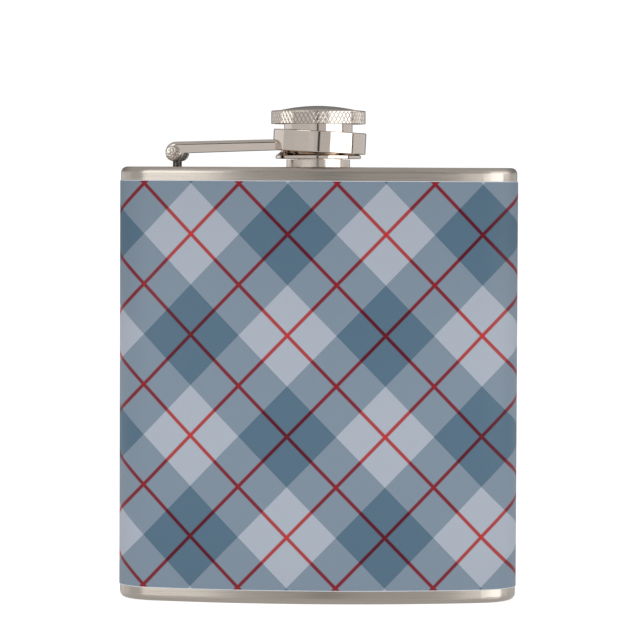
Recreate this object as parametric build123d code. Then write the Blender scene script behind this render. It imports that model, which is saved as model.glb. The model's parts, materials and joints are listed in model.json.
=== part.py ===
"""Hip flask: a curved steel bottle with a printed vinyl wrap and a screw cap held captive
on a hinged arm.

Millimetres. +Z is up, +X is to the right and -Y is the convex face. The origin is on the
floor under the middle of the flask's bounding box.
"""

import os
from math import acos, asin, atan2, cos, degrees, sin, sqrt

from build123d import *

# ---------------------------------------------------------------- driving dimensions
# Body, measured over the vinyl wrap
BODY_WIDTH = 92.0
BODY_THICKNESS = 22.0
BODY_HEIGHT = 99.7
FRONT_RADIUS = 140.0          # plan radius of the convex face
STEEL = 0.6                   # sheet thickness
PAN_DEPTH = 4.6               # height of each end plate's rim
BASE_EDGE_R = 1.5             # outside bend radius of the bottom plate
TOP_EDGE_R = 1.4              # outside bend radius of the top plate

# Vinyl wrap
WRAP = 0.2
WRAP_BOTTOM = 3.1
WRAP_TOP = 96.6
WRAP_SEAM = 0.3               # gap where the wrap's two ends meet, at the back

# Threaded neck
NECK_BORE_R = 4.8
NECK_CORE_R = 5.5
THREAD_R = 6.0
THREAD_PITCH = 1.5
THREAD_TURNS = 3.0
THREAD_START = 103.2
SHOULDER_R = 7.3
SHOULDER_TOP = 101.45
SPIGOT_R = 6.2                # the neck's stub in the top plate's hole
SPIGOT_BOTTOM = 98.3
NECK_TOP = 108.9
MOUTH_CHAMFER = 0.3

# Cap: knurled head, flared sleeve, threaded insert and gasket, all turned about one axis
CAP_BOTTOM = 101.63
FLARE_R = 9.8
FLARE_TOP = 102.4
FLARE_EDGE = 0.1              # chamfer on the flare's rim
FLARE_KNEE = (8.6, 103.26)    # where the flare's cone steepens: radius, height
SLEEVE_R = 7.85
SLEEVE_WALL = 0.5
SLEEVE_TOP = 110.8
FLARE_CONE_TOP = 104.0
INSERT_BORE_R = 6.5           # plain bore that clears the neck's thread
INSERT_BOTTOM = 102.0
INSERT_ROOF = 0.9
GASKET_R = 6.4
GASKET = 0.9
HEAD_R = 10.85
HEAD_BOTTOM = 109.6
HEAD_TOP = 112.5
HEAD_CHAMFER = 0.12
DOME_R = 8.3                  # plan radius where the dome starts
DOME_TOP = 113.8

# Captive arm: a forked bar and a ring in one casting
RING_X = 0.3                  # the loose ring sits a little to the right of the cap's axis
RING_MID_Z = 105.54
RING_HEIGHT = 4.9
RING_R = 10.65
RING_BORE_R = 9.2
RING_BORE_CHAMFER = 0.45
RING_EDGE_R = 0.2
RING_TILT = 2.8               # degrees, the hinge side high
ARM_WIDTH = 10.0
EAR_R = 1.95                  # the ears' lower ends, round the hinge axis
BAR_TOP = 2.56                # the bar's top over the ears, from the hinge axis
BAR_END_TOP = 3.24            # the same at the bar's far end
BAR_UNDER = -0.02             # the bar's underside at the ears, from the hinge axis
BAR_END_UNDER = 0.84          # the same at the bar's far end
BAR_TOP_EDGE_R = 0.8
BAR_PAST_BORE = 2.2           # the bar runs on past the ring's bore, which trims it
SLOT_DEPTH = 3.0              # from the hinge axis to the slot's bottom
HINGE_X = -32.75
HINGE_Z = 102.9

# Hinge post and rivet
POST_R = 1.05
LUG_R = 1.85
LUG_WIDTH = 4.4
LUG_GAP = 0.1                 # each side, between the lug and the fork's ears
RIVET_R = 0.9
RIVET_CLEARANCE = 0.05        # the lug turns on the rivet; the ears grip it
RIVET_HEAD_R = 1.6
RIVET_HEAD = 0.45

# ---------------------------------------------------------------- derived places
MID_RADIUS = FRONT_RADIUS - BODY_THICKNESS / 2
END_X = (BODY_WIDTH - BODY_THICKNESS) / 2
END_ANGLE = asin(END_X / MID_RADIUS)


def sag(x):
    """How far the body's mid-line has curved back from its middle at x."""
    return MID_RADIUS - sqrt(MID_RADIUS ** 2 - x ** 2)


AXIS_Y = -sag(END_X) / 2      # the neck and the cap stand on the mid-line's middle
ARC_CENTRE = Vector(0, AXIS_Y + MID_RADIUS)
HINGE_Y = AXIS_Y + sag(HINGE_X)
ARM_LENGTH = sqrt((RING_X - HINGE_X) ** 2 + (HINGE_Y - AXIS_Y) ** 2)
ARM_YAW = degrees(atan2(AXIS_Y - HINGE_Y, RING_X - HINGE_X))
AT_AXIS = Pos(0, AXIS_Y, 0)
AT_HINGE = Pos(HINGE_X, HINGE_Y, HINGE_Z) * Rot(0, 0, ARM_YAW)


# ---------------------------------------------------------------- shared shapes
def body_outline(inset):
    """The flask's kidney-shaped plan, set in from the outside of the wrap."""
    def at(radius, angle):
        return ARC_CENTRE + Vector(sin(angle), -cos(angle)) * radius

    front = FRONT_RADIUS - inset
    back = FRONT_RADIUS - BODY_THICKNESS + inset
    tip = Vector(cos(END_ANGLE), sin(END_ANGLE)) * (BODY_THICKNESS / 2 - inset)
    right = at(MID_RADIUS, END_ANGLE) + tip
    left = Vector(-right.X, right.Y)
    edges = [
        ThreePointArc(at(front, -END_ANGLE), at(front, 0), at(front, END_ANGLE)),
        ThreePointArc(at(front, END_ANGLE), right, at(back, END_ANGLE)),
        ThreePointArc(at(back, END_ANGLE), at(back, 0), at(back, -END_ANGLE)),
        ThreePointArc(at(back, -END_ANGLE), left, at(front, -END_ANGLE)),
    ]
    return make_face(edges)


def slab(inset, bottom, top):
    """The body's plan, set in, as a solid between two heights."""
    return Pos(0, 0, bottom) * extrude(body_outline(inset), top - bottom)


def pan(edge_radius):
    """A pressed end plate, its flat face at z = 0 and its rim upwards."""
    outer = slab(WRAP, 0, PAN_DEPTH)
    outer = fillet(outer.edges().group_by(Axis.Z)[0], edge_radius)
    inner = slab(WRAP + STEEL, STEEL, PAN_DEPTH + STEEL)
    inner = fillet(inner.edges().group_by(Axis.Z)[0], edge_radius - STEEL)
    return outer - inner


def turned(points):
    """A solid turned about the cap's axis from (radius, height) corners."""
    profile = make_face(Polyline([(r, 0, z) for r, z in points], close=True))
    return AT_AXIS * revolve(profile, Axis.Z)


def crosswise(radius, width):
    """A cylinder along the hinge axis, centred on it, in the arm's own frame."""
    return Rot(90, 0, 0) * Cylinder(radius, width)


# ---------------------------------------------------------------- body
def body_shell():
    top = BODY_HEIGHT - PAN_DEPTH
    return slab(WRAP, PAN_DEPTH, top) - slab(WRAP + STEEL, PAN_DEPTH, top)


def bottom_plate():
    return pan(BASE_EDGE_R)


def top_plate():
    plate = Pos(0, 0, BODY_HEIGHT) * mirror(pan(TOP_EDGE_R), Plane.XY)
    hole = Pos(0, AXIS_Y, BODY_HEIGHT) * Cylinder(SPIGOT_R, 4 * STEEL)
    return plate - hole


def vinyl_wrap():
    skin = slab(0, WRAP_BOTTOM, WRAP_TOP) - slab(WRAP, WRAP_BOTTOM, WRAP_TOP)
    seam = Pos(0, BODY_THICKNESS, BODY_HEIGHT / 2) * Box(
        WRAP_SEAM, 2 * BODY_THICKNESS, BODY_HEIGHT)
    return skin - seam


def neck_thread():
    """One external thread, its root sunk a little into the neck's wall."""
    sunk = 0.15
    root = THREAD_PITCH * 0.36
    crest = THREAD_PITCH * 0.12
    helix = Helix(THREAD_PITCH, THREAD_PITCH * THREAD_TURNS, NECK_CORE_R)
    section = Plane(origin=helix @ 0, x_dir=(1, 0, 0), z_dir=helix % 0) * make_face(
        Polyline([
            (-sunk, -root),
            (0, -root),
            (THREAD_R - NECK_CORE_R, -crest),
            (THREAD_R - NECK_CORE_R, crest),
            (0, root),
            (-sunk, root),
        ], close=True))
    return Pos(0, AXIS_Y, THREAD_START) * sweep(section, path=helix, is_frenet=True)


def neck():
    tube = turned([
        (NECK_BORE_R, SPIGOT_BOTTOM),
        (SPIGOT_R, SPIGOT_BOTTOM),
        (SPIGOT_R, BODY_HEIGHT),
        (SHOULDER_R, BODY_HEIGHT),
        (SHOULDER_R, SHOULDER_TOP),
        (NECK_CORE_R, SHOULDER_TOP),
        (NECK_CORE_R, NECK_TOP - MOUTH_CHAMFER),
        (NECK_CORE_R - MOUTH_CHAMFER, NECK_TOP),
        (NECK_BORE_R, NECK_TOP),
    ])
    return tube + neck_thread()


def hinge_post():
    post_height = HINGE_Z - BODY_HEIGHT
    post = Pos(0, 0, -post_height / 2) * Cylinder(POST_R, post_height)
    lug = crosswise(LUG_R, LUG_WIDTH)
    hole = crosswise(RIVET_R + RIVET_CLEARANCE, 2 * LUG_WIDTH)
    return AT_HINGE * (post + lug - hole)


# ---------------------------------------------------------------- arm
def arm_side():
    """The bar's and the ears' side outline, in the arm's own frame: hinge axis along Y,
    ring towards +X."""
    end = ARM_LENGTH - RING_BORE_R + BAR_PAST_BORE
    # Over the ears, a wider round carries the lower ends' outline up into the bar's top, which
    # leaves it at a tangent and rises to the ring.
    crown_x = BAR_TOP - EAR_R
    run = end - crown_x
    rise = acos(BAR_TOP / sqrt(BAR_END_TOP ** 2 + run ** 2)) - atan2(run, BAR_END_TOP)
    leave = (crown_x - BAR_TOP * sin(rise), 0, BAR_TOP * cos(rise))
    on_crown = (crown_x - BAR_TOP * sqrt(0.5), 0, BAR_TOP * sqrt(0.5))
    join = (sqrt(EAR_R ** 2 - BAR_UNDER ** 2), 0, BAR_UNDER)
    return make_face([
        Line(leave, (end, 0, BAR_END_TOP)),
        Line((end, 0, BAR_END_TOP), (end, 0, BAR_END_UNDER)),
        Line((end, 0, BAR_END_UNDER), join),
        ThreePointArc(join, (0, 0, -EAR_R), (-EAR_R, 0, 0)),
        ThreePointArc((-EAR_R, 0, 0), on_crown, leave),
    ])


def arm_bar():
    bar = extrude(arm_side(), ARM_WIDTH / 2, dir=(0, 1, 0), both=True)
    top_face = bar.faces().filter_by(GeomType.PLANE).sort_by(Axis.Z)[-1]
    long_edges = [edge for edge in top_face.edges() if abs((edge % 0.5).X) > 0.9]
    bar = fillet(long_edges, BAR_TOP_EDGE_R)
    slot_width = LUG_WIDTH + 2 * LUG_GAP
    slot_length = SLOT_DEPTH + 2 * EAR_R
    slot = Pos(SLOT_DEPTH - slot_length / 2, 0, 0) * Box(slot_length, slot_width, 4 * EAR_R)
    return bar - slot - crosswise(RIVET_R, 2 * ARM_WIDTH)


def captive_arm():
    at_ring = Pos(RING_X, AXIS_Y, RING_MID_Z) * Rot(0, RING_TILT, 0)
    ring = Cylinder(RING_R, RING_HEIGHT)
    ring = fillet(ring.edges(), RING_EDGE_R)
    half = RING_HEIGHT / 2
    flared = RING_BORE_R + RING_BORE_CHAMFER
    bore = revolve(make_face(Polyline([
        (0, 0, -half),
        (flared, 0, -half),
        (RING_BORE_R, 0, RING_BORE_CHAMFER - half),
        (RING_BORE_R, 0, half - RING_BORE_CHAMFER),
        (flared, 0, half),
        (0, 0, half),
    ], close=True)), Axis.Z)
    return at_ring * ring + AT_HINGE * arm_bar() - at_ring * bore


def hinge_rivet():
    shank = crosswise(RIVET_R, ARM_WIDTH)
    heads = [Pos(0, side * (ARM_WIDTH + RIVET_HEAD) / 2, 0) * Rot(-90 * side, 0, 0)
             * Cone(RIVET_HEAD_R, RIVET_HEAD_R - RIVET_HEAD, RIVET_HEAD) for side in (-1, 1)]
    return AT_HINGE * (shank + heads)


# ---------------------------------------------------------------- cap
def cap_head():
    """The knurled grip with its shallow dome and the socket that takes the sleeve."""
    rise = DOME_TOP - HEAD_TOP
    crown_radius = (DOME_R ** 2 + rise ** 2) / (2 * rise)
    half_x = DOME_R / 2
    half_z = DOME_TOP - crown_radius + sqrt(crown_radius ** 2 - half_x ** 2)
    crown = ThreePointArc((0, 0, DOME_TOP), (half_x, 0, half_z), (DOME_R, 0, HEAD_TOP))
    outline = Polyline([
        (DOME_R, 0, HEAD_TOP),
        (HEAD_R - HEAD_CHAMFER, 0, HEAD_TOP),
        (HEAD_R, 0, HEAD_TOP - HEAD_CHAMFER),
        (HEAD_R, 0, HEAD_BOTTOM + HEAD_CHAMFER),
        (HEAD_R - HEAD_CHAMFER, 0, HEAD_BOTTOM),
        (SLEEVE_R, 0, HEAD_BOTTOM),
        (SLEEVE_R, 0, SLEEVE_TOP),
        (0, 0, SLEEVE_TOP),
        (0, 0, DOME_TOP),
    ])
    return AT_AXIS * revolve(make_face([*outline.edges(), crown]), Axis.Z)


def cap_sleeve():
    inner = SLEEVE_R - SLEEVE_WALL
    return turned([
        (inner, CAP_BOTTOM),
        (FLARE_R - FLARE_EDGE, CAP_BOTTOM),
        (FLARE_R, CAP_BOTTOM + FLARE_EDGE),
        (FLARE_R, FLARE_TOP - FLARE_EDGE),
        (FLARE_R - FLARE_EDGE, FLARE_TOP),
        FLARE_KNEE,
        (SLEEVE_R, FLARE_CONE_TOP),
        (SLEEVE_R, SLEEVE_TOP),
        (inner, SLEEVE_TOP),
    ])


def cap_insert():
    outer = SLEEVE_R - SLEEVE_WALL
    roof = SLEEVE_TOP - INSERT_ROOF
    return turned([
        (INSERT_BORE_R, INSERT_BOTTOM),
        (outer, INSERT_BOTTOM),
        (outer, SLEEVE_TOP),
        (0, SLEEVE_TOP),
        (0, roof),
        (INSERT_BORE_R, roof),
    ])


def cap_gasket():
    roof = SLEEVE_TOP - INSERT_ROOF
    return turned([(0, roof - GASKET), (GASKET_R, roof - GASKET), (GASKET_R, roof), (0, roof)])


# ---------------------------------------------------------------- output
NODES = {
    "body_shell": body_shell,
    "bottom_plate": bottom_plate,
    "top_plate": top_plate,
    "vinyl_wrap": vinyl_wrap,
    "neck": neck,
    "hinge_post": hinge_post,
    "captive_arm": captive_arm,
    "hinge_rivet": hinge_rivet,
    "cap_head": cap_head,
    "cap_sleeve": cap_sleeve,
    "cap_insert": cap_insert,
    "cap_gasket": cap_gasket,
}

os.makedirs("parts", exist_ok=True)
for name, make in NODES.items():
    export_step(make(), f"parts/{name}.step")
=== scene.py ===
"""Looks of the hip flask: its printed wrap, steel, knurled cap and captive arm."""

import json
from math import asin, cos, hypot, pi, radians, sin, sqrt

import bpy
from mathutils import Matrix, Vector


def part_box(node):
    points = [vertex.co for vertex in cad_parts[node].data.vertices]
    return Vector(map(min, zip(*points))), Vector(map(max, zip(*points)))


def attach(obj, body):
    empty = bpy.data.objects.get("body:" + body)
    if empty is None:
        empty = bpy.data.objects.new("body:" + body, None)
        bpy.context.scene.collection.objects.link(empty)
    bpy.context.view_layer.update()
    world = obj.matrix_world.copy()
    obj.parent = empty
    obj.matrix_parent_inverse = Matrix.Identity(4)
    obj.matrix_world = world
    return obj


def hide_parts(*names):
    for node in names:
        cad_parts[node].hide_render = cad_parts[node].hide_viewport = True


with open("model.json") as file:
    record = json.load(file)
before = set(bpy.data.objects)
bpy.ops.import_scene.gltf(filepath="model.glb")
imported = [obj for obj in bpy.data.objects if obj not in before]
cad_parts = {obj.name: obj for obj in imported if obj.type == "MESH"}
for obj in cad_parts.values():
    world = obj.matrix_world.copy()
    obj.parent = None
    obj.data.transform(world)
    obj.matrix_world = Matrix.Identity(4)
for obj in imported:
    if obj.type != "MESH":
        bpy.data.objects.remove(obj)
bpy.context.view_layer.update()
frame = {"nodes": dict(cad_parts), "record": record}

# ---------------------------------------------------------------- sizes, in metres
MM = 0.001
FRONT_RADIUS = 140 * MM       # plan radius of the convex face, over the wrap
THICKNESS = 22 * MM

wrap_low, wrap_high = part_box("vinyl_wrap")
head_low, head_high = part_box("cap_head")
insert_low, insert_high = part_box("cap_insert")
gasket_low, gasket_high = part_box("cap_gasket")
WIDTH = wrap_high.x - wrap_low.x
MID_RADIUS = FRONT_RADIUS - THICKNESS / 2
END_ANGLE = asin((WIDTH - THICKNESS) / 2 / MID_RADIUS)      # where the rounded ends begin
CAP_AXIS = (head_low + head_high) / 2
ARC_CENTRE_Y = CAP_AXIS.y + MID_RADIUS                      # the curved faces' common centre

hinge = next(j for j in frame["record"]["behaviour"]["joints"] if j["name"] == "arm_hinge")
HINGE = Vector(hinge["pos_m"])
HINGE_AXIS = Vector(hinge["axis"]).normalized()


# ---------------------------------------------------------------- node helpers
def grey(level):
    return (level, level, level, 1)


class Graph:
    """The nodes of a material or a world, built with one short call for each."""

    def __init__(self, owner):
        owner.use_nodes = True
        self.owner = owner
        self.nodes = owner.node_tree.nodes
        self.links = owner.node_tree.links

    def put(self, socket, value):
        if isinstance(value, bpy.types.NodeSocket):
            self.links.new(value, socket)
        else:
            socket.default_value = value

    def node(self, kind, inputs=(), **settings):
        made = self.nodes.new(kind)
        for key, value in settings.items():
            setattr(made, key, value)
        for key, value in dict(inputs).items():
            self.put(made.inputs[key], value)
        return made

    def math(self, operation, *values):
        return self.node("ShaderNodeMath", enumerate(values), operation=operation).outputs[0]

    def clamped(self, value, low, high, to_low=0.0, to_high=1.0):
        """value from low..high carried to to_low..to_high, and held at the ends."""
        inputs = {"Value": value, "From Min": low, "From Max": high, "To Min": to_low, "To Max": to_high}
        return self.node("ShaderNodeMapRange", inputs).outputs["Result"]

    def mix(self, factor, a, b, blend_type="MIX"):
        """Colour a carried to colour b by the factor."""
        made = self.node("ShaderNodeMix", data_type="RGBA", blend_type=blend_type)
        self.put(made.inputs["Factor"], factor)
        self.put(made.inputs[6], a)
        self.put(made.inputs[7], b)
        return made.outputs[2]

    def blend(self, factor, a, b):
        """The same for plain numbers."""
        return self.node("ShaderNodeMix", {0: factor, 2: a, 3: b}).outputs[0]

    def split(self, vector):
        return self.node("ShaderNodeSeparateXYZ", {0: vector}).outputs

    def scaled(self, vector, factors):
        inputs = {0: vector, 1: factors}
        return self.node("ShaderNodeVectorMath", inputs, operation="MULTIPLY").outputs[0]

    def distance(self, a, b):
        return self.node("ShaderNodeVectorMath", {0: a, 1: b}, operation="DISTANCE").outputs["Value"]

    def noise(self, vector, scale, detail):
        inputs = {"Vector": vector, "Scale": scale, "Detail": detail}
        return self.node("ShaderNodeTexNoise", inputs).outputs["Fac"]

    def cells(self, vector, scale):
        return self.node("ShaderNodeTexVoronoi", {"Vector": vector, "Scale": scale}).outputs["Distance"]

    def place(self):
        """The point in the object's own frame, in metres."""
        return self.node("ShaderNodeTexCoord").outputs["Object"]

    def flatness(self):
        """1 where the surface faces up or down, 0 where it stands."""
        up = self.split(self.node("ShaderNodeNewGeometry").outputs["Normal"])["Z"]
        return self.clamped(self.math("ABSOLUTE", up), 0.6, 0.9)

    def bump(self, height, strength, distance):
        inputs = {"Height": height, "Strength": strength, "Distance": distance}
        return self.node("ShaderNodeBump", inputs).outputs["Normal"]

    def ramp(self, turn, stops):
        """Grey levels round a whole turn, from (degrees, level) stops."""
        made = self.node("ShaderNodeValToRGB", {0: turn})
        elements = made.color_ramp.elements
        elements.remove(elements[1])
        for index, (angle, level) in enumerate(stops):
            position = (angle + 180) / 360
            stop = elements[0] if index == 0 else elements.new(position)
            stop.position = position
            stop.color = grey(level)
        return made.outputs["Color"]

    def surface(self, **values):
        """Set the shader's sockets, which are named in small letters, and return the material."""
        shader = self.nodes["Principled BSDF"]
        for key, value in values.items():
            self.put(shader.inputs[key.replace("_", " ").title().replace("Ior", "IOR")], value)
        return self.owner


def new_material(name):
    return Graph(bpy.data.materials.new(name))


# ---------------------------------------------------------------- materials
def metal(g, marks, dark_tone, bright_tone, roughness, normal, **more):
    """Steel whose tone runs from dark to bright with its marks."""
    colour = g.mix(g.clamped(marks, 0.3, 0.7), (*dark_tone, 1), (*bright_tone, 1))
    return g.surface(base_color=colour, metallic=1.0, roughness=roughness, normal=normal, **more)


def plated(g, place, smudge, normal):
    """Bright plated steel with faint smudges and hairline scratches."""
    hairs = g.noise(g.scaled(place, (300, 300, 6000)), 1, 2)
    roughness = g.clamped(smudge, 0.35, 0.7, 0.04, 0.10)
    return metal(g, hairs, (0.75, 0.66, 0.59), (0.80, 0.71, 0.635), roughness, normal)


def polished_steel():
    g = new_material("polished_steel")
    place = g.place()
    smudge = g.noise(place, 260, 3)
    return plated(g, place, smudge, g.bump(smudge, 0.05, 0.2 * MM))


def arm_steel():
    """Polished steel, hammered round the hinge where the rivet was set."""
    g = new_material("arm_steel")
    place = g.place()
    smudge = g.noise(place, 260, 3)
    near = g.clamped(g.distance(place, tuple(HINGE)), 4.0 * MM, 2.9 * MM)
    dents = g.math("MULTIPLY", g.cells(place, 1250), near)
    return plated(g, place, smudge, g.bump(dents, 0.8, 0.5 * MM))


def neck_steel():
    """The neck's satin-polished steel, marked round by the tool that turned it."""
    g = new_material("neck_steel")
    marks = g.noise(g.scaled(g.place(), (90, 90, 7000)), 1, 2)
    roughness = g.clamped(marks, 0.3, 0.7, 0.13, 0.21)
    normal = g.bump(marks, 0.05, 0.05 * MM)
    return metal(g, marks, (0.72, 0.635, 0.565), (0.79, 0.70, 0.625), roughness, normal)


def peened_steel():
    """The rivet's ends, dulled by the hammer."""
    g = new_material("peened_steel")
    pits = g.noise(g.place(), 2400, 3)
    roughness = g.clamped(pits, 0.3, 0.7, 0.22, 0.38)
    normal = g.bump(pits, 0.25, 0.3 * MM)
    return metal(g, pits, (0.50, 0.455, 0.405), (0.72, 0.65, 0.585), roughness, normal)


def hinge_steel_painted_shade():
    """The hinge's duller steel, its colour painted near-black as painted shade from the dark gap between
    the parts.
    """
    g = new_material("hinge_steel_painted_shade")
    pits = g.noise(g.place(), 1800, 3)
    roughness = g.clamped(pits, 0.3, 0.7, 0.22, 0.38)
    normal = g.bump(pits, 0.3, 0.3 * MM)
    return metal(g, pits, (0.06, 0.055, 0.048), (0.15, 0.135, 0.12), roughness, normal)


def streaks(g):
    """Fine brush marks: level round the sides, lengthwise on the flat faces."""
    place = g.place()
    around = g.noise(g.scaled(place, (60, 60, 9000)), 1, 2)
    along = g.noise(g.scaled(place, (60, 9000, 60)), 1, 2)
    return g.blend(g.flatness(), around, along)


def brushed_steel():
    """The body's steel, whose brush marks draw its highlights out."""
    g = new_material("brushed_steel")
    marks = streaks(g)
    roughness = g.clamped(marks, 0.3, 0.7, 0.26, 0.36)
    normal = g.bump(marks, 0.08, 0.05 * MM)
    tangent = g.node("ShaderNodeTangent", direction_type="RADIAL", axis="Z").outputs[0]
    return metal(g, marks, (0.585, 0.525, 0.465), (0.715, 0.645, 0.575), roughness, normal,
                 anisotropic=0.85, anisotropic_rotation=0.25, tangent=tangent)


def knurled_steel():
    """The cap's head: bright on the cut diamonds, brushed on the dome."""
    g = new_material("knurled_steel")
    marks = streaks(g)
    roughness = g.blend(g.flatness(), 0.10, g.clamped(marks, 0.3, 0.7, 0.16, 0.26))
    normal = g.bump(marks, 0.05, 0.05 * MM)
    return metal(g, marks, (0.70, 0.62, 0.555), (0.80, 0.72, 0.645), roughness, normal)


# The print's inks.
MID_TONE = (0.184, 0.238, 0.298, 1)
LIGHT_TONE = (0.359, 0.396, 0.458, 1)
DARK_TONE = (0.076, 0.138, 0.198, 1)
BARE_VINYL = (0.64, 0.67, 0.72, 1)
LINE_ON_MID = (0.180, 0.010, 0.022, 1)
LINE_ON_LIGHT = (0.358, 0.039, 0.042, 1)
LINE_ON_DARK = (0.090, 0.0, 0.011, 1)
CROSSING_TINT = (1.45, 0.45, 0.40, 1)     # what a second red line does to the first


def printed_vinyl():
    """Plaid print: squares set on their corners, with a fine red line through each row.
    Its lengths are in millimetres across the print from the front's middle, and up."""
    cross_s, cross_z = 4.70, 95.9      # one crossing of the red lines
    half_s, half_z = 11.203, 11.515    # half a square's diagonals
    line_half, line_soft = 0.40, 0.10
    bare_edge, bare_soft = 0.13, 0.03  # unprinted edge of the vinyl
    g = new_material("printed_vinyl")
    at = g.split(g.node("ShaderNodeAttribute", attribute_name="print_mm").outputs["Vector"])
    across = g.math("DIVIDE", g.math("SUBTRACT", at["X"], cross_s), half_s)
    down = g.math("DIVIDE", g.math("SUBTRACT", cross_z, at["Y"]), half_z)
    rising = g.math("MULTIPLY", g.math("ADD", across, down), 0.5)
    falling = g.math("MULTIPLY", g.math("SUBTRACT", across, down), 0.5)
    row_gap = 2 / hypot(1 / half_s, 1 / half_z)

    def row(coordinate):
        """Whether this row is an odd one, and how much of its red line covers the point."""
        nearest = g.math("ROUND", coordinate)
        odd = g.math("FLOORED_MODULO", nearest, 2.0)
        off = g.math("MULTIPLY", g.math("ABSOLUTE", g.math("SUBTRACT", coordinate, nearest)), row_gap)
        return odd, g.clamped(off, line_half + line_soft, line_half - line_soft)

    odd_rising, line_rising = row(rising)
    odd_falling, line_falling = row(falling)
    light = g.math("GREATER_THAN", g.math("SUBTRACT", odd_rising, odd_falling), 0.5)
    dark = g.math("GREATER_THAN", g.math("SUBTRACT", odd_falling, odd_rising), 0.5)
    cloth = g.mix(dark, g.mix(light, MID_TONE, LIGHT_TONE), DARK_TONE)
    lined = g.mix(dark, g.mix(light, LINE_ON_MID, LINE_ON_LIGHT), LINE_ON_DARK)
    crossed = g.mix(1.0, lined, CROSSING_TINT, "MULTIPLY")
    colour = g.mix(g.math("MAXIMUM", line_rising, line_falling), cloth, lined)
    colour = g.mix(g.math("MULTIPLY", line_rising, line_falling), colour, crossed)

    middle = (wrap_low.z + wrap_high.z) / 2 / MM
    printed_to = (wrap_high.z - wrap_low.z) / 2 / MM - bare_edge
    from_middle = g.math("ABSOLUTE", g.math("SUBTRACT", at["Y"], middle))
    colour = g.mix(g.clamped(from_middle, printed_to - bare_soft, printed_to), colour, BARE_VINYL)
    grain = g.noise(g.place(), 5000, 3)
    colour = g.mix(g.clamped(grain, 0.3, 0.7, 0.0, 0.07), colour, grey(0.0))
    return g.surface(base_color=colour, roughness=g.clamped(grain, 0.3, 0.7, 0.42, 0.50),
                     specular_ior_level=0.25, normal=g.bump(grain, 0.03, 0.1 * MM))


def white_plastic():
    """The cap's lining."""
    g = new_material("white_plastic")
    mottle = g.noise(g.place(), 900, 3)
    colour = g.mix(mottle, (0.72, 0.72, 0.68, 1), (0.80, 0.80, 0.77, 1))
    return g.surface(base_color=colour, roughness=g.clamped(mottle, 0.3, 0.7, 0.35, 0.5))


def gasket_rubber():
    """The pale disc that seals the neck."""
    g = new_material("gasket_rubber")
    mottle = g.noise(g.place(), 1500, 3)
    colour = g.mix(mottle, (0.60, 0.60, 0.57, 1), (0.70, 0.70, 0.67, 1))
    return g.surface(base_color=colour, roughness=0.6, normal=g.bump(mottle, 0.1, 0.1 * MM))


# ---------------------------------------------------------------- meshes
def mesh_object(name, vertices, faces, material):
    mesh = bpy.data.meshes.new(name)
    mesh.from_pydata([tuple(v) for v in vertices], [], faces)
    mesh.validate()
    mesh.materials.append(material)
    for polygon in mesh.polygons:
        polygon.use_smooth = True
    made = bpy.data.objects.new(name, mesh)
    bpy.context.scene.collection.objects.link(made)
    return made


def piece(made, body, node):
    """Hand a piece to its body, and hide the CAD node that it stands for."""
    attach(made, body)
    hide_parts(node)


def between(rings, columns):
    """Quads joining rings of vertices laid one after another, each closed on itself."""
    return [(j * columns + i, j * columns + (i + 1) % columns,
             (j + 1) * columns + (i + 1) % columns, (j + 1) * columns + i)
            for j in range(rings - 1) for i in range(columns)]


def smoothly(value):
    """0 below 0, 1 above 1, and an S between them."""
    held = min(1, max(0, value))
    return held * held * (3 - 2 * held)


# ---------------------------------------------------------------- wrap
# Lengths along its outside, from the front's middle to the back's.
FRONT_HALF = FRONT_RADIUS * END_ANGLE
END_LENGTH = pi * THICKNESS / 2
BACK_HALF = (FRONT_RADIUS - THICKNESS) * END_ANGLE
HALF_ROUND = FRONT_HALF + END_LENGTH + BACK_HALF
LEAST_SQUEEZE = 0.5           # the print is never squeezed to less than this share of its size


def around_body(s, out=0.0):
    """Plan point at s along the wrap's outside from the front's middle, positive to the
    right, a distance out from it."""
    side = 1 if s >= 0 else -1
    run = abs(s)
    if run <= FRONT_HALF:
        turn = run / FRONT_RADIUS
        x, y = (FRONT_RADIUS + out) * sin(turn), -(FRONT_RADIUS + out) * cos(turn)
    elif run <= FRONT_HALF + END_LENGTH:
        turn = END_ANGLE + (run - FRONT_HALF) / (THICKNESS / 2)
        reach = THICKNESS / 2 + out
        x = MID_RADIUS * sin(END_ANGLE) + reach * sin(turn)
        y = -MID_RADIUS * cos(END_ANGLE) - reach * cos(turn)
    else:
        turn = (HALF_ROUND - run) / (FRONT_RADIUS - THICKNESS)
        inner = FRONT_RADIUS - THICKNESS - out
        x, y = inner * sin(turn), -inner * cos(turn)
    return side * x, ARC_CENTRE_Y + y


def print_across(s):
    """Distance across the print to s: it is squeezed round the ends, so that its lines look
    straight from the front."""
    steps = 120
    total = 0
    for i in range(steps):
        past_front = abs(s) * (i + 0.5) / steps - FRONT_HALF
        turn = END_ANGLE + past_front / (THICKNESS / 2)
        on_end = 0 < past_front < END_LENGTH
        total += max(abs(cos(turn)), LEAST_SQUEEZE) if on_end else 1
    return total * s / steps


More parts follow.
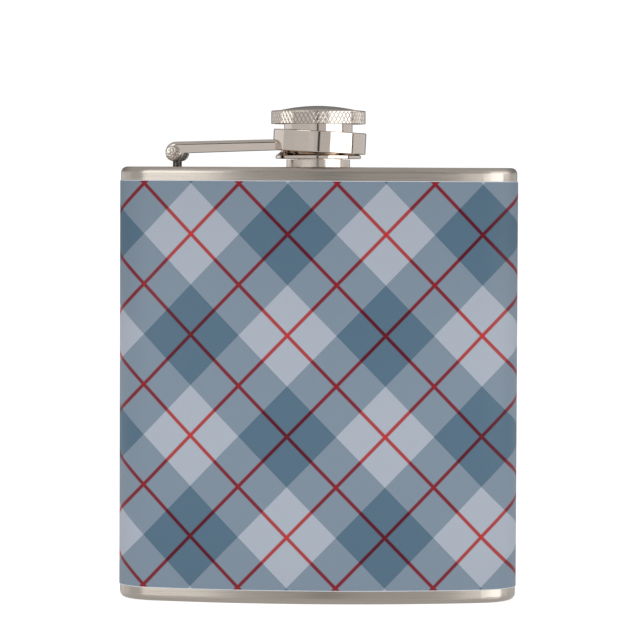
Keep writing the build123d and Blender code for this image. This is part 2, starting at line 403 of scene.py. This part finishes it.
def printed_wrap(material):
    """The vinyl skin, its right-hand end lapped over its left-hand end at the back."""
    lap, lift_run, thick, bevel = 4 * MM, 1.2 * MM, 0.2 * MM, 0.05 * MM
    step = 0.6 * MM                   # between the mesh's columns
    start, stop = -HALF_ROUND + lap / 2, HALF_ROUND + lap / 2
    columns = int((stop - start) / step)
    low, high = wrap_low.z, wrap_high.z
    levels = [(low, -bevel), (low + bevel, 0), (high - bevel, 0), (high, -bevel)]
    vertices, print_mm = [], []
    for i in range(columns + 1):
        s = start + (stop - start) * i / columns
        lift = thick * smoothly((s - (stop - lap - lift_run)) / lift_run)
        beyond = s if s <= HALF_ROUND else s - 2 * HALF_ROUND
        across = print_across(s)
        outside = [(z, lift + bevelled) for z, bevelled in levels]
        inside = [(z, lift - thick) for z, _ in reversed(levels)]
        for z, out in outside + inside:
            x, y = around_body(beyond, out)
            vertices.append((x, y, z))
            print_mm.append((across / MM, z / MM, 0))
    ring = 2 * len(levels)
    faces = []
    for i in range(columns):
        for j in range(ring):
            k = (j + 1) % ring
            faces.append((i * ring + j, (i + 1) * ring + j, (i + 1) * ring + k, i * ring + k))
    faces.append(tuple(range(ring)))
    faces.append(tuple(columns * ring + j for j in reversed(range(ring))))
    wrap = mesh_object("printed_wrap", vertices, faces, material)
    attribute = wrap.data.attributes.new("print_mm", "FLOAT_VECTOR", "POINT")
    for item, value in zip(attribute.data, print_mm):
        item.vector = value
    return wrap


# ---------------------------------------------------------------- cap
def knurled_head(material):
    """The grip: crossed V grooves cut round its band, and a shallow dome over it."""
    diamonds, cell = 68, 6            # diamonds round the band, columns to each
    rows = 9                          # up the cut part of the band
    rim = 0.12 * MM                   # plain edge above and below it
    depth, edge = 0.065 * MM, 0.05 * MM
    low, high = head_low.z, head_low.z + 2.9 * MM
    radius = (head_high.x - head_low.x) / 2
    socket_r, socket_top = 7.83 * MM, 110.8 * MM      # the sleeve's stem stands in it
    crown_r, crown_low, crown_power = 8.6 * MM, high + 0.32 * MM, 1.9
    columns = diamonds * cell
    turns = [2 * pi * i / columns for i in range(columns)]

    def groove(i, j):
        return 1 if (i + j) % cell == 0 or (i - j) % cell == 0 else 0

    def circle(r, z):
        return [(r * cos(turn), r * sin(turn), z) for turn in turns]

    def knurled(j):
        z = low + rim + (high - low - 2 * rim) * j / rows
        cuts = [radius - depth * groove(i, j) for i in range(columns)]
        return [(r * cos(turn), r * sin(turn), z) for r, turn in zip(cuts, turns)]

    rings = [circle(0.2 * MM, socket_top), circle(socket_r, socket_top), circle(socket_r, low)]
    rings += [circle(radius - 2 * edge, low), circle(radius - edge, low + edge)]
    band_start = len(rings)
    rings += [knurled(j) for j in range(rows + 1)]
    band_stop = len(rings) - 1
    rings += [circle(radius - edge, high), circle(radius - 3 * edge, high + 2.5 * edge)]
    for share in (1.0, 0.96, 0.9, 0.8, 0.68, 0.55, 0.4, 0.25, 0.12, 0.02):
        rise = (head_high.z - crown_low) * (1 - share ** crown_power)
        rings.append(circle(crown_r * share, crown_low + rise))
    vertices = [Vector((CAP_AXIS.x + x, CAP_AXIS.y + y, z)) for ring in rings for x, y, z in ring]

    faces = []
    for a, b, c, d in between(len(rings), columns):
        j, i = divmod(a, columns)
        if not band_start <= j < band_stop:
            faces.append((a, b, c, d))
            continue
        # Split each cell of the knurl along its groove or its ridge.
        j -= band_start
        if abs(groove(i, j) - groove(i + 1, j + 1)) < abs(groove(i + 1, j) - groove(i, j + 1)):
            faces += [(a, b, c), (a, c, d)]
        else:
            faces += [(a, b, d), (b, c, d)]
    faces.append(tuple(reversed(range(columns))))
    faces.append(tuple((len(rings) - 1) * columns + i for i in range(columns)))
    head = mesh_object("knurled_head", vertices, faces, material)
    for polygon in head.data.polygons:
        polygon.use_smooth = not low + rim < polygon.center.z < high - rim
    return head


def threaded_insert(material):
    """The cap's plastic lining with its internal thread."""
    columns, rows = 96, 60
    pitch, ridge = 1.5 * MM, 0.34 * MM
    crest_half, root_half = 3 / 26, 4 / 13            # of the pitch, from the ridge's middle
    bore = 6.5 * MM
    outer = (insert_high.x - insert_low.x) / 2
    bottom, roof = insert_low.z, gasket_high.z
    thread_low, thread_high, fade = bottom + 0.6 * MM, gasket_low.z - 0.3 * MM, 0.8 * MM

    def radius(i, z):
        off = abs((z / pitch - i / columns) % 1.0 - 0.5)
        crest = smoothly((root_half - off) / (root_half - crest_half))
        shown = smoothly((z - thread_low) / fade) * smoothly((thread_high - z) / fade)
        return bore - ridge * crest * shown

    rings = [[(outer, z)] * columns for z in (insert_high.z, bottom)]
    for j in range(rows + 1):
        z = bottom + (roof - bottom) * j / rows
        rings.append([(radius(i, z), z) for i in range(columns)])
    vertices = []
    for ring in rings:
        for i, (r, z) in enumerate(ring):
            turn = 2 * pi * i / columns
            vertices.append((CAP_AXIS.x + r * cos(turn), CAP_AXIS.y + r * sin(turn), z))
    faces = [tuple(reversed(face)) for face in between(len(rings), columns)]
    faces.append(tuple(range(columns)))
    faces.append(tuple((len(rings) - 1) * columns + i for i in reversed(range(columns))))
    return mesh_object("threaded_insert", vertices, faces, material)


# ---------------------------------------------------------------- hinge
def peened_rivet(material):
    """The hinge's rivet: both ends hammered over into dented domes."""
    columns, dents, golden = 36, 22, pi * (3 - sqrt(5))
    shank_r, head_r = 0.9 * MM, 1.7 * MM
    half = 5.0 * MM                   # from the rivet's middle to the ear's face
    dome, fullness = 0.5 * MM, 0.93   # a fullness of 1 brings the dome's edge down to the ear
    dent_r, dent_depth = 0.34 * MM, 0.11 * MM
    side = HINGE_AXIS.cross(Vector((0, 0, 1))).normalized()
    up = side.cross(HINGE_AXIS)
    spots = [(head_r * sqrt((k + 0.5) / dents), golden * k) for k in range(dents)]

    def height(share, turn):
        """How far the dome stands over the ear, less the dents, which fade at its edge."""
        x, y = share * head_r * cos(turn), share * head_r * sin(turn)
        dent = 0
        for r, t in spots:
            off = hypot(x - r * cos(t), y - r * sin(t)) / dent_r
            dent = max(dent, dent_depth * (1 - off * off))
        return dome * sqrt(1 - fullness * share * share) - dent * (1 - share ** 6)

    shares = [0.04, 0.12, 0.2, 0.28, 0.36, 0.44, 0.52, 0.6, 0.68, 0.76, 0.84, 0.91, 0.97, 1.0]
    rings = [[(share * head_r, half + height(share, 2 * pi * i / columns)) for i in range(columns)]
             for share in shares]
    rings += [[(r, half)] * columns for r in (head_r, shank_r)]
    rings += [[(r, -along) for r, along in ring] for ring in reversed(rings)]
    vertices = []
    for ring in rings:
        for i, (r, along) in enumerate(ring):
            turn = 2 * pi * i / columns
            vertices.append(HINGE + HINGE_AXIS * along + side * (r * cos(turn)) + up * (r * sin(turn)))
    faces = between(len(rings), columns)
    faces.append(tuple(reversed(range(columns))))
    faces.append(tuple((len(rings) - 1) * columns + i for i in range(columns)))
    return mesh_object("peened_rivet", vertices, faces, material)


# ---------------------------------------------------------------- studio
# Grey levels round the studio, by degrees to the right of straight in front of the flask.
# Low down: pale walls, a softbox at the right, and a dark slit in front, at the right and behind.
LOW_WALL = [(-180, 0.04), (-163, 0.04), (-150, 0.78), (-101, 0.80), (-99, 0.58), (-28, 0.60),
            (-24, 0.64), (-13, 0.64), (-10, 0.57), (-3.5, 0.56), (-2, 0.05), (2, 0.05), (3.5, 0.56),
            (28, 0.56), (31, 2.6), (88.4, 2.6), (89.2, 0.04), (93.5, 0.04), (94.5, 0.66), (152, 0.66),
            (162, 0.25), (180, 0.20)]
# Over them: darker walls, a softbox at each side, and a black card beside the left one.
HIGH_WALL = [(-180, 0.16), (-140, 0.18), (-100, 0.45), (-64, 0.5), (-56, 3.0), (-24, 3.0),
             (-20.5, 0.03), (-14.5, 0.03), (-9, 0.18), (10, 0.17), (44, 0.17), (58, 1.8), (105, 1.8),
             (118, 0.4), (140, 0.18), (180, 0.16)]
OVERHEAD = 0.46
UNDERFOOT = 0.52
# Where each of them gives way to the next, as the upward part of the direction.
LOW_TO_HIGH = (0.06, 0.13)
HIGH_TO_OVERHEAD = (0.28, 0.62)
LOW_TO_UNDERFOOT = (-0.12, -0.35)
WHITE_BEHIND = 1.05               # what the camera itself sees past the floor

FLOOR_HALF = 10.0
FLOOR_GLOW = 0.62

LAMP_AT = (0.1, -1.6, 1.0)
LAMP_ACROSS = 1.6
LAMP_WATTS = 8.4

CAMERA_AT = (30.43 * MM, CAP_AXIS.y - 846.5 * MM, 96.5 * MM)
CAMERA_LOOK = (-0.0347, 0.9987, -0.0382)
CAMERA_ROLL = radians(0.25)
CAMERA_LENS = 205.9               # mm, over a sensor 36 mm wide


def pale_floor():
    """Plain white floor, bright enough to run into the white behind it. The steel reflects
    the studio's own light instead of it."""
    s = FLOOR_HALF
    g = new_material("floor")
    material = g.surface(base_color=grey(0.9), roughness=0.9, emission_color=grey(1.0),
                         emission_strength=FLOOR_GLOW)
    made = mesh_object("floor", [(-s, -s, 0), (s, -s, 0), (s, s, 0), (-s, s, 0)], [(0, 1, 2, 3)], material)
    made.visible_glossy = False


def studio():
    """Light from all round: the low walls, the high walls, and plain greys above and below."""
    world = bpy.data.worlds.new("studio")
    bpy.context.scene.world = world
    g = Graph(world)
    direction = g.split(g.node("ShaderNodeTexCoord").outputs["Generated"])
    azimuth = g.math("ARCTAN2", direction["X"], g.math("MULTIPLY", direction["Y"], -1.0))
    turn = g.math("ADD", g.math("DIVIDE", azimuth, 2 * pi), 0.5)
    up = direction["Z"]
    light = g.mix(g.clamped(up, *LOW_TO_HIGH), g.ramp(turn, LOW_WALL), g.ramp(turn, HIGH_WALL))
    light = g.mix(g.clamped(up, *HIGH_TO_OVERHEAD), light, grey(OVERHEAD))
    light = g.mix(g.clamped(up, *LOW_TO_UNDERFOOT), light, grey(UNDERFOOT))
    seen = g.node("ShaderNodeLightPath").outputs["Is Camera Ray"]
    background = g.nodes["Background"]
    g.put(background.inputs["Color"], g.mix(seen, light, grey(WHITE_BEHIND)))


def front_light():
    """A wide soft lamp over the camera. The steel reflects the walls, not it."""
    lamp = bpy.data.lights.new("front_light", "AREA")
    lamp.shape = "DISK"
    lamp.size = LAMP_ACROSS
    lamp.energy = LAMP_WATTS
    made = bpy.data.objects.new("front_light", lamp)
    bpy.context.scene.collection.objects.link(made)
    made.location = LAMP_AT
    aim = (wrap_low + wrap_high) / 2 - made.location
    made.rotation_euler = aim.to_track_quat("-Z", "Y").to_euler()
    made.visible_glossy = False


def camera():
    """A little to the right of the cap, near its height, looking slightly down."""
    lens = bpy.data.cameras.new("camera")
    lens.lens = CAMERA_LENS
    lens.sensor_width = 36
    lens.clip_start, lens.clip_end = 0.01, 100
    made = bpy.data.objects.new("camera", lens)
    bpy.context.scene.collection.objects.link(made)
    made.location = CAMERA_AT
    aim = Vector(CAMERA_LOOK).to_track_quat("-Z", "Y").to_matrix()
    made.rotation_euler = (aim @ Matrix.Rotation(CAMERA_ROLL, 3, "Z")).to_euler()
    bpy.context.scene.camera = made


# ---------------------------------------------------------------- the flask
def dress():
    """Give the plain CAD nodes their materials, and put the finer pieces in place of the rest."""
    brushed = brushed_steel()
    finishes = {
        "body_shell": brushed,
        "bottom_plate": brushed,
        "top_plate": brushed,
        "neck": neck_steel(),
        # the hinge post's near-black colour is painted shade
        "hinge_post": hinge_steel_painted_shade(),
        "captive_arm": arm_steel(),
        "cap_sleeve": polished_steel(),
        "cap_gasket": gasket_rubber(),
    }
    for node, material in finishes.items():
        mesh = frame["nodes"][node].data
        mesh.materials.clear()
        mesh.materials.append(material)
    piece(printed_wrap(printed_vinyl()), "root", "vinyl_wrap")
    piece(knurled_head(knurled_steel()), "cap", "cap_head")
    piece(threaded_insert(white_plastic()), "cap", "cap_insert")
    piece(peened_rivet(peened_steel()), "arm", "hinge_rivet")


camera()
pale_floor()
studio()
front_light()
dress()
bpy.context.scene.view_settings.view_transform = "Standard"
